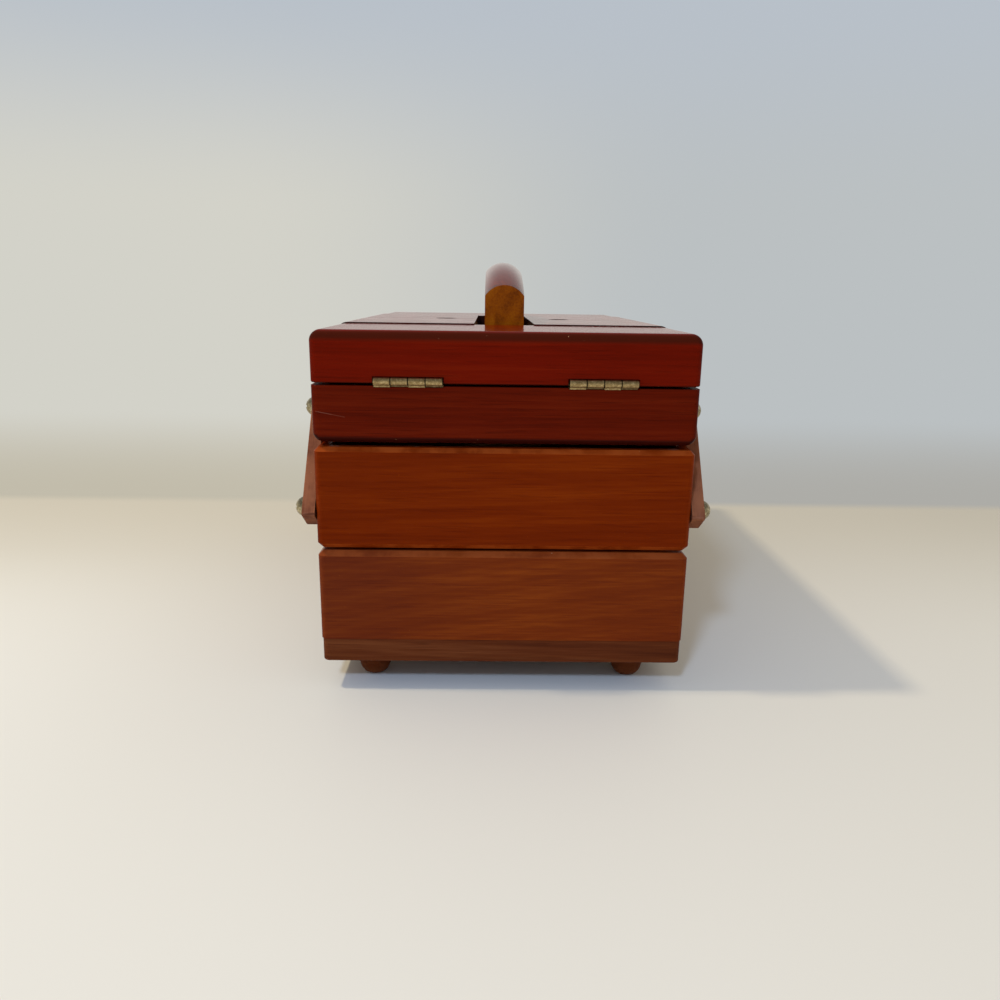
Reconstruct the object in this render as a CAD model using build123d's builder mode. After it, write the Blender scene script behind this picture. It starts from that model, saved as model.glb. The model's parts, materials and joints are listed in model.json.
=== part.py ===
import math
import os

from build123d import *

# Three-tier sewing carrier of varnished wood. A fixed base holds a centre board with an arched
# handle. Two mirrored halves, each a middle tray, a top tray and a hinged lid, spread along Y on
# pairs of parallel wooden arms. Millimetres. The origin is at floor level under the middle of the
# box, X runs across it, Y runs along it and Z is up. The front half is built, at -Y, and the back
# half is its mirror image.

# Outer box
box_width = 214.0
box_length = 372.0
corner_round = 4.0
centre_gap = 1.0  # between the two halves where they meet

# Heights, from the floor up
foot_height = 18.0
bottom_board_height = 14.4
base_height = 54.3
base_gap = 1.6  # under the middle trays
middle_height = 59.0
tray_gap = 2.3  # between the middle and the top trays
top_height = 32.0
lid_gap = 1.4
lid_height = 28.4

# Boards
wall = 8.0
slot_wall = 6.0
floor_thickness = 4.0
bottom_board_inset = 0.5
bottom_board_round = 1.0
base_chamfer = 3.0
middle_top_chamfer = 2.5
middle_bottom_chamfer = 3.0
top_tray_round = 6.0

# Lids
panel_thickness = 8.0
panel_length = 88.0  # the full-width board at the outer end of each lid
panel_round = 6.0
lid_bottom_round = 1.0
leaf_rise = 0.7  # the two inner boards of a lid stand proud of the outer one
leaf_gap = 0.8
finger_notch_width = 15.3
finger_notch_x = 42.8

# Feet
foot_diameter = 20.0
foot_neck_diameter = 15.0
foot_flat_diameter = 9.0
foot_belly_height = 10.0
foot_x = 79.0
foot_end_distance = 26.0

# Centre board and handle
slot_width = 38.8
slot_end_clearance = 4.0
spine_thickness = 20.0
handle_sink = 4.0  # how far the handle's feet reach below the lid top
handle_width = 25.2
handle_end_inset = 1.0  # handle past the ends of the centre board
handle_height = 41.4  # crown of the arch above the lid top
handle_end_height = 24.9
handle_crown_drop = 6.4  # the top is domed across its width
handle_foot_length = 27.0
handle_thickness = 20.0
dowel_diameter = 8.0
dowel_depth = 22.0

# Arms and their pivots
arm_width = 17.0
arm_end = 8.7  # from the last pivot to the end of the arm
arm_corner_round = 2.0
arm_thickness = 7.6
arm_side_gap = 0.5
arm_edge_round = 1.0
arm_reach_in = 37.5  # from a pivot to the next one above it, towards the middle
long_arm_seam_distance = 31.0  # highest pivot of each inner arm, from the middle of the box
lower_arm_seam_distance = 23.5
upper_pivot_margin = 0.8  # between the end board and the shank of the outermost screw
middle_pivot_height = 22.0  # above the underside of the middle tray
top_pivot_height = 13.7  # above the underside of the top tray

# Pivot screws
screw_diameter = 5.0
screw_depth = 7.0
screw_hole_clearance = 0.05
screw_head_diameter = 11.4
screw_head_height = 5.0
screw_head_rim = 0.8
screw_head_gap = 0.3
pivot_clearance = 0.15

# Lid hinges
hinge_length = 38.0
hinge_x = 53.4
knuckle_count = 4
knuckle_diameter = 4.4
knuckle_gap = 0.2
hinge_pin_diameter = 2.0
hinge_pin_clearance = 0.1
hinge_leaf_thickness = 1.2
hinge_leaf_overlap = 0.3  # how far a leaf runs into its knuckles
hinge_axis_outset = 0.8  # pin axis outside the end of the box
hinge_axis_rise = 2.6  # pin axis above the top tray
hinge_clearance = 0.5

# Derived levels
half_width = box_width / 2
half_length = box_length / 2
bottom_board_z = foot_height
base_z = bottom_board_z + bottom_board_height
base_top_z = base_z + base_height
middle_z = base_top_z + base_gap
middle_top_z = middle_z + middle_height
top_z = middle_top_z + tray_gap
top_top_z = top_z + top_height
lid_z = top_top_z + lid_gap
lid_top_z = lid_z + lid_height
panel_z = lid_top_z - panel_thickness

# Derived plan
inner_x = half_width - wall
end_y = -half_length
inner_end_y = end_y + wall
seam_y = -centre_gap / 2
slot_end_y = end_y + panel_length
slot_half = slot_width / 2
slot_outer_x = slot_half + slot_wall
spine_half_length = -slot_end_y - slot_end_clearance
handle_half_length = spine_half_length + handle_end_inset

# Derived mechanism
upper_arm_inset = wall + upper_pivot_margin + screw_diameter / 2
long_arm_inset = half_length - long_arm_seam_distance - 2 * arm_reach_in
lower_arm_inset = half_length - lower_arm_seam_distance - arm_reach_in
middle_pivot_z = middle_z + middle_pivot_height
top_pivot_z = top_z + top_pivot_height
arm_reach_up = top_pivot_z - middle_pivot_z
base_pivot_z = middle_pivot_z - arm_reach_up
arm_length = math.hypot(arm_reach_in, arm_reach_up)
arm_angle = math.degrees(math.atan2(arm_reach_up, arm_reach_in))
arm_x = half_width + arm_side_gap
arm_outer_x = arm_x + arm_thickness
hinge_axis_y = end_y - hinge_axis_outset
hinge_axis_z = top_top_z + hinge_axis_rise
knuckle_radius = knuckle_diameter / 2
hinge_centres = [(-hinge_x, end_y + wall / 2), (hinge_x, end_y + wall / 2)]
pick_tolerance = 0.01  # for choosing edges by their place

os.makedirs("parts", exist_ok=True)


def write(name, shape):
    shape.label = name
    export_step(shape, f"parts/{name}.step")


def write_both(name, shape):
    # The front piece as built, and its mirror image for the back half.
    write(f"front_{name}", shape)
    write(f"back_{name}", shape.mirror(Plane.XZ))


def outer_block(y_low, y_high, z_low, z_high):
    # The plain outer form of a tier or of one half of it, before it is divided into boards.
    with BuildPart() as block:
        with BuildSketch(Plane.XY.offset(z_low)):
            with Locations((0, (y_low + y_high) / 2)):
                Rectangle(box_width, y_high - y_low)
        extrude(amount=z_high - z_low)
    return block


def outside_edges(block, z_level):
    # The edges at one level that run round the outside, leaving out the one at the centre seam.
    z_low, z_high = z_level - pick_tolerance, z_level + pick_tolerance
    level = block.edges().filter_by_position(Axis.Z, z_low, z_high)
    return level.filter_by(lambda edge: edge.center().Y < seam_y - pick_tolerance)


def outside_corners(block):
    return block.edges().filter_by(Axis.Z).group_by(Axis.Y)[0]


def board(block, x_low, x_high, y_low, y_high, z_low, z_high):
    # One straight board: the share of an outer block that lies between these limits.
    with BuildPart() as piece:
        add(block.part)
        with BuildSketch(Plane.XY.offset(z_low)):
            with Locations(((x_low + x_high) / 2, (y_low + y_high) / 2)):
                Rectangle(x_high - x_low, y_high - y_low)
        extrude(amount=z_high - z_low, mode=Mode.INTERSECT)
    return piece


def group(*pieces):
    # Boards that meet face to face stay separate solids of one named group.
    return Compound([solid for piece in pieces for solid in piece.solids()])


def outer_walls(block, z_low, z_high):
    end = board(block, -half_width, half_width, end_y, inner_end_y, z_low, z_high)
    left = board(block, -half_width, -inner_x, inner_end_y, seam_y, z_low, z_high)
    right = board(block, inner_x, half_width, inner_end_y, seam_y, z_low, z_high)
    return end, left, right


def slot_walls(block, z_low, z_high):
    # Boards round the slot for the centre board, and the boards that close the two prongs.
    slot_back_y = slot_end_y - slot_wall
    prong_y = seam_y - slot_wall
    end = board(block, -slot_outer_x, slot_outer_x, slot_back_y, slot_end_y, z_low, z_high)
    left = board(block, -slot_outer_x, -slot_half, slot_end_y, seam_y, z_low, z_high)
    right = board(block, slot_half, slot_outer_x, slot_end_y, seam_y, z_low, z_high)
    left_close = board(block, -inner_x, -slot_outer_x, prong_y, seam_y, z_low, z_high)
    right_close = board(block, slot_outer_x, inner_x, prong_y, seam_y, z_low, z_high)
    return end, left, right, left_close, right_close


def tray_floor(block, z_low):
    slot_back_y = slot_end_y - slot_wall
    prong_y = seam_y - slot_wall
    z_high = z_low + floor_thickness
    outer = board(block, -inner_x, inner_x, inner_end_y, slot_back_y, z_low, z_high)
    left = board(block, -inner_x, -slot_outer_x, slot_back_y, prong_y, z_low, z_high)
    right = board(block, slot_outer_x, inner_x, slot_back_y, prong_y, z_low, z_high)
    return group(outer, left, right)


def pivot_y(inset):
    return end_y + inset


def bored(piece, pivots):
    # A side board with a blind hole for the shank of each pivot screw, given as (y, z) pairs.
    with BuildPart() as drilled:
        add(piece.part)
        for side in (-1, 1):
            face = Plane((side * half_width, 0, 0), x_dir=(0, 1, 0), z_dir=(side, 0, 0))
            with BuildSketch(face):
                with Locations(*[(y, side * z) for y, z in pivots]):
                    Circle(screw_diameter / 2 + screw_hole_clearance)
            extrude(amount=-screw_depth, mode=Mode.SUBTRACT)
    return drilled


# Pivot screw, its shank along -X from the underside of the head at the origin
shank_length = screw_head_gap + arm_thickness + arm_side_gap + screw_depth
head_radius = screw_head_diameter / 2
dome_height = screw_head_height - screw_head_rim
dome_radius = (head_radius**2 + dome_height**2) / (2 * dome_height)
dome_centre = screw_head_height - dome_radius
dome_angle = math.asin(head_radius / dome_radius)
dome_half = (
    dome_centre + dome_radius * math.cos(dome_angle / 2),
    dome_radius * math.sin(dome_angle / 2),
)
with BuildPart() as pivot_screw:
    with BuildSketch(Plane.XZ):
        with BuildLine():
            Polyline(
                (0, 0),
                (-shank_length, 0),
                (-shank_length, screw_diameter / 2),
                (0, screw_diameter / 2),
                (0, head_radius),
                (screw_head_rim, head_radius),
            )
            ThreePointArc((screw_head_rim, head_radius), dome_half, (screw_head_height, 0))
            Line((screw_head_height, 0), (0, 0))
        make_face()
    revolve(axis=Axis.X)


def pivot_screws(pivots):
    # One screw at each (y, z) pair on both sides of the box.
    head_x = arm_outer_x + screw_head_gap
    with BuildPart() as screws:
        with Locations(*[Location((head_x, y, z)) for y, z in pivots]):
            add(pivot_screw.part)
        with Locations(*[Location((-head_x, y, z), (0, 0, 180)) for y, z in pivots]):
            add(pivot_screw.part)
    return screws.part


def arm(first_inset, first_z, spans):
    # A right-hand arm: a square-ended bar through spans + 1 pivots, leaning towards the middle.
    y_low = pivot_y(first_inset)
    centre = (y_low + spans * arm_reach_in / 2, first_z + spans * arm_reach_up / 2)
    holes = [(y_low + n * arm_reach_in, first_z + n * arm_reach_up) for n in range(spans + 1)]
    with BuildPart() as bar:
        with BuildSketch(Plane.YZ.offset(arm_x)):
            with Locations(Location((*centre, 0), (0, 0, arm_angle))):
                RectangleRounded(spans * arm_length + 2 * arm_end, arm_width, arm_corner_round)
        extrude(amount=arm_thickness)
        fillet(bar.faces().sort_by(Axis.X)[-1].edges(), arm_edge_round)
        with BuildSketch(Plane.YZ.offset(arm_x)):
            with Locations(*holes):
                Circle(screw_diameter / 2 + pivot_clearance)
        extrude(amount=arm_thickness, mode=Mode.SUBTRACT)
    return bar.part


def write_arms(name, first_inset, first_z, spans):
    right = arm(first_inset, first_z, spans)
    write_both(f"{name}_right", right)
    write_both(f"{name}_left", right.mirror(Plane.YZ))


# Pivots as (y, z) pairs of the front half, by the body that carries the screws
long_y = pivot_y(long_arm_inset)
lower_y = pivot_y(lower_arm_inset)
upper_y = pivot_y(upper_arm_inset)
base_pivots = [(long_y, base_pivot_z), (lower_y, base_pivot_z)]
middle_pivots = [
    (upper_y, middle_pivot_z),
    (long_y + arm_reach_in, middle_pivot_z),
    (lower_y + arm_reach_in, middle_pivot_z),
]
top_pivots = [
    (upper_y + arm_reach_in, top_pivot_z),
    (long_y + 2 * arm_reach_in, top_pivot_z),
]

# Feet: turned bun feet under the bottom board
with BuildPart() as foot:
    with BuildSketch(Plane.XZ):
        with BuildLine():
            neck = (foot_neck_diameter / 2, foot_height)
            belly = (foot_diameter / 2, foot_belly_height)
            flat = (foot_flat_diameter / 2, 0)
            Polyline(neck, (0, foot_height), (0, 0), flat)
            TangentArc(belly, neck, tangent=(0, 1))
            TangentArc(belly, flat, tangent=(0, -1))
        make_face()
    revolve(axis=Axis.Z)

with BuildPart() as feet:
    with GridLocations(2 * foot_x, box_length - 2 * foot_end_distance, 2, 2):
        add(foot.part)
write("feet", feet.part)

# Bottom board, set in a little from the walls
with BuildPart() as bottom_board:
    with BuildSketch(Plane.XY.offset(bottom_board_z)):
        RectangleRounded(
            box_width - 2 * bottom_board_inset,
            box_length - 2 * bottom_board_inset,
            corner_round,
        )
    extrude(amount=bottom_board_height)
    fillet(bottom_board.faces().sort_by(Axis.Z)[0].edges(), bottom_board_round)
write("bottom_board", bottom_board.part)

# Base walls: full-width end boards with the long side boards between them
with BuildPart() as base_block:
    with BuildSketch(Plane.XY.offset(base_z)):
        RectangleRounded(box_width, box_length, corner_round)
    extrude(amount=base_height)
    chamfer(base_block.faces().sort_by(Axis.Z)[-1].edges(), base_chamfer)

base_span = (base_z, base_top_z)
front_base_end = board(base_block, -half_width, half_width, end_y, inner_end_y, *base_span)
back_base_end = board(base_block, -half_width, half_width, -inner_end_y, -end_y, *base_span)
left_base_side = board(base_block, -half_width, -inner_x, inner_end_y, -inner_end_y, *base_span)
right_base_side = board(base_block, inner_x, half_width, inner_end_y, -inner_end_y, *base_span)
both_base_pivots = base_pivots + [(-y, z) for y, z in base_pivots]
write("base_front_end", front_base_end.part)
write("base_back_end", back_base_end.part)
write("base_left_side", bored(left_base_side, both_base_pivots).part)
write("base_right_side", bored(right_base_side, both_base_pivots).part)
write("base_pivot_screws", pivot_screws(both_base_pivots))

# Centre board that carries the handle, with a dowel hole near each end
spine_top_z = lid_top_z - handle_sink
dowel_y = handle_half_length - handle_foot_length / 2
with BuildPart() as centre_board:
    with BuildSketch(Plane.XY.offset(base_z)):
        Rectangle(spine_thickness, 2 * spine_half_length)
    extrude(amount=spine_top_z - base_z)
    with BuildSketch(Plane.XY.offset(spine_top_z)):
        with Locations((0, -dowel_y), (0, dowel_y)):
            Circle(dowel_diameter / 2)
    extrude(amount=-dowel_depth, mode=Mode.SUBTRACT)
write("centre_board", centre_board.part)

# Arched handle: a domed section turned along the arch, inside its side outline
crown_z = lid_top_z + handle_height
handle_end_z = lid_top_z + handle_end_height
grip_z = crown_z - handle_thickness
grip_y = handle_half_length - handle_foot_length
arch_rise = handle_height - handle_end_height
arch_radius = (handle_half_length**2 + arch_rise**2) / (2 * arch_rise)
arch_centre_z = crown_z - arch_radius
side_radius = arch_radius - handle_crown_drop
inside_radius = arch_radius - 2 * handle_height
edge_x = handle_width / 2
with BuildPart() as handle:
    # The section lies level with the arch's centre and turns over the top from +Y to -Y
    with BuildSketch(Plane.XY.offset(arch_centre_z)):
        with BuildLine():
            Polyline(
                (-edge_x, side_radius),
                (-edge_x, inside_radius),
                (edge_x, inside_radius),
                (edge_x, side_radius),
            )
            ThreePointArc((edge_x, side_radius), (0, arch_radius), (-edge_x, side_radius))
        make_face()
    revolve(axis=Axis((0, 0, arch_centre_z), (1, 0, 0)), revolution_arc=180)
    with BuildSketch(Plane.YZ.offset(-edge_x)):
        with BuildLine():
            Polyline(
                (-grip_y, spine_top_z),
                (-handle_half_length, spine_top_z),
                (-handle_half_length, crown_z),
                (handle_half_length, crown_z),
                (handle_half_length, spine_top_z),
                (grip_y, spine_top_z),
            )
            ThreePointArc((grip_y, spine_top_z), (0, grip_z), (-grip_y, spine_top_z))
        make_face()
    extrude(amount=handle_width, mode=Mode.INTERSECT)
    with BuildSketch(Plane.XY.offset(spine_top_z)):
        with Locations((0, -dowel_y), (0, dowel_y)):
            Circle(dowel_diameter / 2)
    extrude(amount=dowel_depth, mode=Mode.SUBTRACT)
write("handle", handle.part)

with BuildPart() as handle_dowels:
    with BuildSketch(Plane.XY.offset(spine_top_z - dowel_depth)):
        with Locations((0, -dowel_y), (0, dowel_y)):
            Circle(dowel_diameter / 2)
    extrude(amount=2 * dowel_depth)
write("handle_dowels", handle_dowels.part)

# Arms
write_arms("long_arm", long_arm_inset, base_pivot_z, 2)
write_arms("lower_arm", lower_arm_inset, base_pivot_z, 1)
write_arms("upper_arm", upper_arm_inset, middle_pivot_z, 1)

# Middle trays
middle_block = outer_block(end_y, seam_y, middle_z, middle_top_z)
with BuildPart() as middle_form:
    add(middle_block.part)
    fillet(outside_corners(middle_form), corner_round)
    chamfer(outside_edges(middle_form, middle_top_z), middle_top_chamfer)
    chamfer(outside_edges(middle_form, middle_z), middle_bottom_chamfer)
middle_end, middle_left, middle_right = outer_walls(middle_form, middle_z, middle_top_z)
middle_left = bored(middle_left, middle_pivots)
middle_right = bored(middle_right, middle_pivots)
write_both("middle_outer_walls", group(middle_end, middle_left, middle_right))
write_both("middle_slot_walls", group(*slot_walls(middle_form, middle_z, middle_top_z)))
write_both("middle_floor", tray_floor(middle_form, middle_z))
write_both("middle_pivot_screws", pivot_screws(middle_pivots))

# Top trays
top_block = outer_block(end_y, seam_y, top_z, top_top_z)
with BuildPart() as top_form:
    add(top_block.part)
    fillet(outside_corners(top_form), corner_round)
    fillet(outside_edges(top_form, top_z), top_tray_round)

hinge_span = hinge_length + 2 * hinge_clearance
leaf_low_z = hinge_axis_z - knuckle_radius + hinge_leaf_overlap - hinge_leaf_thickness
leaf_high_z = lid_z - (leaf_low_z + hinge_leaf_thickness - top_top_z) / 2
top_end, top_left, top_right = outer_walls(top_form, top_z, top_top_z)
with BuildPart() as top_end_board:
    add(top_end.part)
    # Shallow recesses for the hinge leaves
    with BuildSketch(Plane.XY.offset(leaf_low_z)):
        with Locations(*hinge_centres):
            Rectangle(hinge_length, wall)
    extrude(amount=hinge_leaf_thickness, mode=Mode.SUBTRACT)
top_left = bored(top_left, top_pivots)
top_right = bored(top_right, top_pivots)
write_both("top_outer_walls", group(top_end_board, top_left, top_right))
write_both("top_slot_walls", group(*slot_walls(top_form, top_z, top_top_z)))
write_both("top_floor", tray_floor(top_form, top_z))
write_both("top_pivot_screws", pivot_screws(top_pivots))

# Lids: a rim of boards under a full-width outer panel and two proud inner leaves
lid_block = outer_block(end_y, seam_y, lid_z, lid_top_z)
with BuildPart() as lid_form:
    add(lid_block.part)
    fillet(outside_corners(lid_form), corner_round)
    fillet(outside_edges(lid_form, lid_top_z), panel_round)
    fillet(outside_edges(lid_form, lid_z), lid_bottom_round)

leaf_top_z = lid_top_z + leaf_rise
leaf_block = outer_block(end_y, seam_y, lid_z, leaf_top_z)
with BuildPart() as leaf_form:
    add(leaf_block.part)
    fillet(outside_edges(leaf_form, leaf_top_z), panel_round)

rim_end, rim_left, rim_right = outer_walls(lid_form, lid_z, panel_z)
with BuildPart() as rim_end_board:
    add(rim_end.part)
    # Notches that clear the hinge knuckles, and recesses for the leaves
    for x in (-hinge_x, hinge_x):
        with BuildSketch(Plane.YZ.offset(x)):
            with Locations((hinge_axis_y, hinge_axis_z)):
                Circle(knuckle_radius + hinge_clearance)
        extrude(amount=hinge_span / 2, both=True, mode=Mode.SUBTRACT)
    with BuildSketch(Plane.XY.offset(lid_z)):
        with Locations(*hinge_centres):
            Rectangle(hinge_span, wall)
    extrude(amount=leaf_high_z + hinge_leaf_thickness - lid_z, mode=Mode.SUBTRACT)
write_both("lid_outer_rim", group(rim_end_board, rim_left, rim_right))
write_both("lid_slot_rim", group(*slot_walls(lid_form, lid_z, panel_z)))
write_both(
    "lid_panel",
    board(lid_form, -half_width, half_width, end_y, slot_end_y, panel_z, lid_top_z).part,
)
leaf_y = slot_end_y + leaf_gap
with BuildPart() as lid_leaves:
    add(board(leaf_form, slot_half, half_width, leaf_y, seam_y, panel_z, leaf_top_z).part)
    mirror(about=Plane.YZ)
    # Half-round finger notches at the centre seam
    with BuildSketch(Plane.XY.offset(panel_z)):
        with Locations((-finger_notch_x, 0), (finger_notch_x, 0)):
            Circle(finger_notch_width / 2)
    extrude(amount=panel_thickness + leaf_rise, mode=Mode.SUBTRACT)
write_both("lid_leaves", lid_leaves.part)

# Hinges: knuckles are numbered from -X, the even ones on the tray and the odd ones on the lid
knuckle_pitch = hinge_length / knuckle_count


def knuckles(first, bore_radius):
    # Tube lengths of one hinge centred on X = 0, every second one starting from the first.
    with BuildPart() as tubes:
        for n in range(first, knuckle_count, 2):
            start_x = -hinge_length / 2 + n * knuckle_pitch + knuckle_gap / 2
            with BuildSketch(Plane.YZ.offset(start_x)):
                with Locations((hinge_axis_y, hinge_axis_z)):
                    Circle(knuckle_radius)
                    Circle(bore_radius, mode=Mode.SUBTRACT)
            extrude(amount=knuckle_pitch - knuckle_gap)
    return tubes


def hinge_half(first, bore_radius, leaf_z):
    # A flat leaf in the board edge, with a tab out to each of its own knuckles.
    leaf_y_low = hinge_axis_y + knuckle_radius + hinge_clearance
    leaf_y_high = end_y + wall
    with BuildPart() as half:
        add(knuckles(first, bore_radius).part)
        with BuildSketch(Plane.XY.offset(leaf_z)):
            with Locations((0, (leaf_y_low + leaf_y_high) / 2)):
                Rectangle(hinge_length, leaf_y_high - leaf_y_low)
            for n in range(first, knuckle_count, 2):
                middle_x = -hinge_length / 2 + (n + 0.5) * knuckle_pitch
                with Locations((middle_x, (hinge_axis_y + leaf_y_high) / 2)):
                    Rectangle(knuckle_pitch - knuckle_gap, leaf_y_high - hinge_axis_y)
        extrude(amount=hinge_leaf_thickness)
        with BuildSketch(Plane.YZ.offset(-hinge_length / 2)):
            with Locations((hinge_axis_y, hinge_axis_z)):
                Circle(bore_radius)
        extrude(amount=hinge_length, mode=Mode.SUBTRACT)
    return half


def hinge_pair(piece):
    with BuildPart() as pair:
        with Locations((-hinge_x, 0, 0), (hinge_x, 0, 0)):
            add(piece.part)
    return pair.part


pin_radius = hinge_pin_diameter / 2
tray_leaf = hinge_half(0, pin_radius, leaf_low_z)
lid_leaf = hinge_half(1, pin_radius + hinge_pin_clearance, leaf_high_z)
with BuildPart() as hinge_pin:
    with BuildSketch(Plane.YZ.offset(-hinge_length / 2)):
        with Locations((hinge_axis_y, hinge_axis_z)):
            Circle(pin_radius)
    extrude(amount=hinge_length)
write_both("hinge_tray_leaves", hinge_pair(tray_leaf))
write_both("hinge_lid_leaves", hinge_pair(lid_leaf))
write_both("hinge_pins", hinge_pair(hinge_pin))
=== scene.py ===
import json
import math

import bmesh
import bpy
from mathutils import Matrix, Vector


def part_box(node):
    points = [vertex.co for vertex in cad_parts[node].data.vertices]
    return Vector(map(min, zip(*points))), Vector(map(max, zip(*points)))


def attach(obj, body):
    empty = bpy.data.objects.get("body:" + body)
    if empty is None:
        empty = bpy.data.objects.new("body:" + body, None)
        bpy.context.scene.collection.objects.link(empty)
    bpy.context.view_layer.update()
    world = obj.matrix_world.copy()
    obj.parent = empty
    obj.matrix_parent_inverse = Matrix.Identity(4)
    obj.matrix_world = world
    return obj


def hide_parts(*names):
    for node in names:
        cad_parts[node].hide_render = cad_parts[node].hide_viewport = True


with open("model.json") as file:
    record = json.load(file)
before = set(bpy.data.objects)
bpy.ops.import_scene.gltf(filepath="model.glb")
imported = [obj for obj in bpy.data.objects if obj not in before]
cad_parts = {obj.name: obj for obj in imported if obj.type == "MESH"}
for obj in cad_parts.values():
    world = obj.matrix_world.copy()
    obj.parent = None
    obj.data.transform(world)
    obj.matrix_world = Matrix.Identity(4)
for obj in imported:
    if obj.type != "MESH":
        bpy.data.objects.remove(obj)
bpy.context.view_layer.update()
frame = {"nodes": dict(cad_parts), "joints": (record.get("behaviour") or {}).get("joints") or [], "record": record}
nodes = frame["nodes"]
joints = {joint["name"]: joint for joint in frame["joints"]}
print("frame loaded", len(nodes), "nodes")

mm = 0.001
ends = {"front": -1, "back": 1}  # which way along Y each half opens


# Measures read from the frame
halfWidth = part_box("front_middle_outer_walls")[1].x
panelLow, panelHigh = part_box("front_lid_panel")
lidTopZ = panelHigh.z
panelInnerY = -panelHigh.y
floorLow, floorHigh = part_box("front_middle_floor")
sideInnerX, endInnerY = floorHigh.x, -floorLow.y
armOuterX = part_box("front_long_arm_right")[1].x
handleEndY = -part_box("handle")[0].y
hingeLow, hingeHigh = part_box("front_hinge_tray_leaves")
hingeEdgeX, hingeOuterY = hingeHigh.x, -hingeLow.y


# Camera
cameraSettings = {
    "place": (-0.00881, -0.62384, 0.2325),
    "yaw": 0.831,
    "pitch": 14.629,
    "roll": 0.807,
    "focal": 800.3,  # pixels across a 1000 pixel frame
    "frame": 1000,
    "sensor": 36.0,
    "clip": (0.01, 50),
}


def makeCamera(settings):
    data = bpy.data.cameras.new("camera")
    camera = bpy.data.objects.new("camera", data)
    bpy.context.scene.collection.objects.link(camera)
    data.sensor_width = settings["sensor"]
    data.lens = settings["sensor"] * settings["focal"] / settings["frame"]
    yaw, pitch, roll = (math.radians(settings[key]) for key in ("yaw", "pitch", "roll"))
    ahead = Vector((math.sin(yaw) * math.cos(pitch), math.cos(yaw) * math.cos(pitch), -math.sin(pitch)))
    right = Vector((math.cos(yaw), -math.sin(yaw), 0))
    up = right.cross(ahead)
    turnedRight = right * math.cos(roll) + up * math.sin(roll)
    turnedUp = up * math.cos(roll) - right * math.sin(roll)
    turn = Matrix((turnedRight, turnedUp, -ahead)).transposed()
    camera.matrix_world = Matrix.Translation(settings["place"]) @ turn.to_4x4()
    data.clip_start, data.clip_end = settings["clip"]
    bpy.context.scene.camera = camera


makeCamera(cameraSettings)
print("camera set")


# Shader maths
class Wire:
    # One output of a node tree, with arithmetic on it
    def __init__(self, tree, socket=None):
        self.tree = tree
        self.socket = socket

    def node(self, kind, settings=None, values=None, output=0):
        made = self.tree.nodes.new(kind)
        for name, value in (settings or {}).items():
            if name == "stops":
                self.setStops(made.color_ramp, value)
            else:
                setattr(made, name, value)
        for key, value in (values or {}).items():
            if isinstance(value, Wire):
                self.tree.links.new(value.socket, made.inputs[key])
            else:
                made.inputs[key].default_value = value
        return Wire(self.tree, made.outputs[output]) if len(made.outputs) else self

    def setStops(self, ramp, stops):
        while len(ramp.elements) < len(stops):
            ramp.elements.new(1.0)
        for element, (place, tint) in zip(ramp.elements, stops):
            element.position = place
            element.color = tint

    def maths(self, operation, *values):
        return self.node("ShaderNodeMath", {"operation": operation}, dict(enumerate(values)))

    def __add__(self, other):
        return self.maths("ADD", self, other)

    def __radd__(self, other):
        return self.maths("ADD", other, self)

    def __sub__(self, other):
        return self.maths("SUBTRACT", self, other)

    def __rsub__(self, other):
        return self.maths("SUBTRACT", other, self)

    def __mul__(self, other):
        return self.maths("MULTIPLY", self, other)

    def __rmul__(self, other):
        return self.maths("MULTIPLY", other, self)

    def __truediv__(self, other):
        return self.maths("DIVIDE", self, other)

    def __rtruediv__(self, other):
        return self.maths("DIVIDE", other, self)

    def __lt__(self, other):
        return self.maths("LESS_THAN", self, other)

    def __gt__(self, other):
        return self.maths("GREATER_THAN", self, other)

    def absolute(self):
        return self.maths("ABSOLUTE", self)

    def sine(self):
        return self.maths("SINE", self)

    def fraction(self):
        return self.maths("FRACT", self)

    def root(self):
        return self.maths("SQRT", self)

    def larger(self, other):
        return self.maths("MAXIMUM", self, other)

    def between(self, low, high):
        # 0 below low, 1 above high, smooth between
        values = {"Value": self, "From Min": low, "From Max": high}
        return self.node("ShaderNodeMapRange", {"interpolation_type": "SMOOTHSTEP"}, values)

    def parts(self):
        made = self.tree.nodes.new("ShaderNodeSeparateXYZ")
        self.tree.links.new(self.socket, made.inputs[0])
        return [Wire(self.tree, output) for output in made.outputs]

    def vector(self, x, y, z):
        return self.node("ShaderNodeCombineXYZ", None, {0: x, 1: y, 2: z})

    def blend(self, first, second, factor):
        # The first colour at factor 0 and the second at 1
        made = self.tree.nodes.new("ShaderNodeMix")
        made.data_type = "RGBA"
        for index, value in ((0, factor), (6, first), (7, second)):
            if isinstance(value, Wire):
                self.tree.links.new(value.socket, made.inputs[index])
            else:
                made.inputs[index].default_value = value
        return Wire(self.tree, made.outputs[2])

    def noise(self, place, scale, detail=4.0, rough=0.55, twist=0.0):
        return self.node("ShaderNodeTexNoise", {"noise_dimensions": "3D"}, {
            "Vector": place,
            "Scale": scale,
            "Detail": detail,
            "Roughness": rough,
            "Distortion": twist,
        })


def colour(red, green, blue):
    # sRGB 0 to 255 as a linear colour
    def linear(value):
        share = value / 255
        return share / 12.92 if share <= 0.04045 else ((share + 0.055) / 1.055) ** 2.4

    return (linear(red), linear(green), linear(blue), 1.0)


def startMaterial(name):
    material = bpy.data.materials.new(name)
    material.use_nodes = True
    tree = material.node_tree
    tree.nodes.clear()
    return material, Wire(tree)


def finishMaterial(wire, surface, fixed):
    # A Principled surface: linked values in surface, plain numbers in fixed
    shader = wire.node("ShaderNodeBsdfPrincipled", None, {**surface, **fixed})
    wire.node("ShaderNodeOutputMaterial", None, {"Surface": shader})


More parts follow.
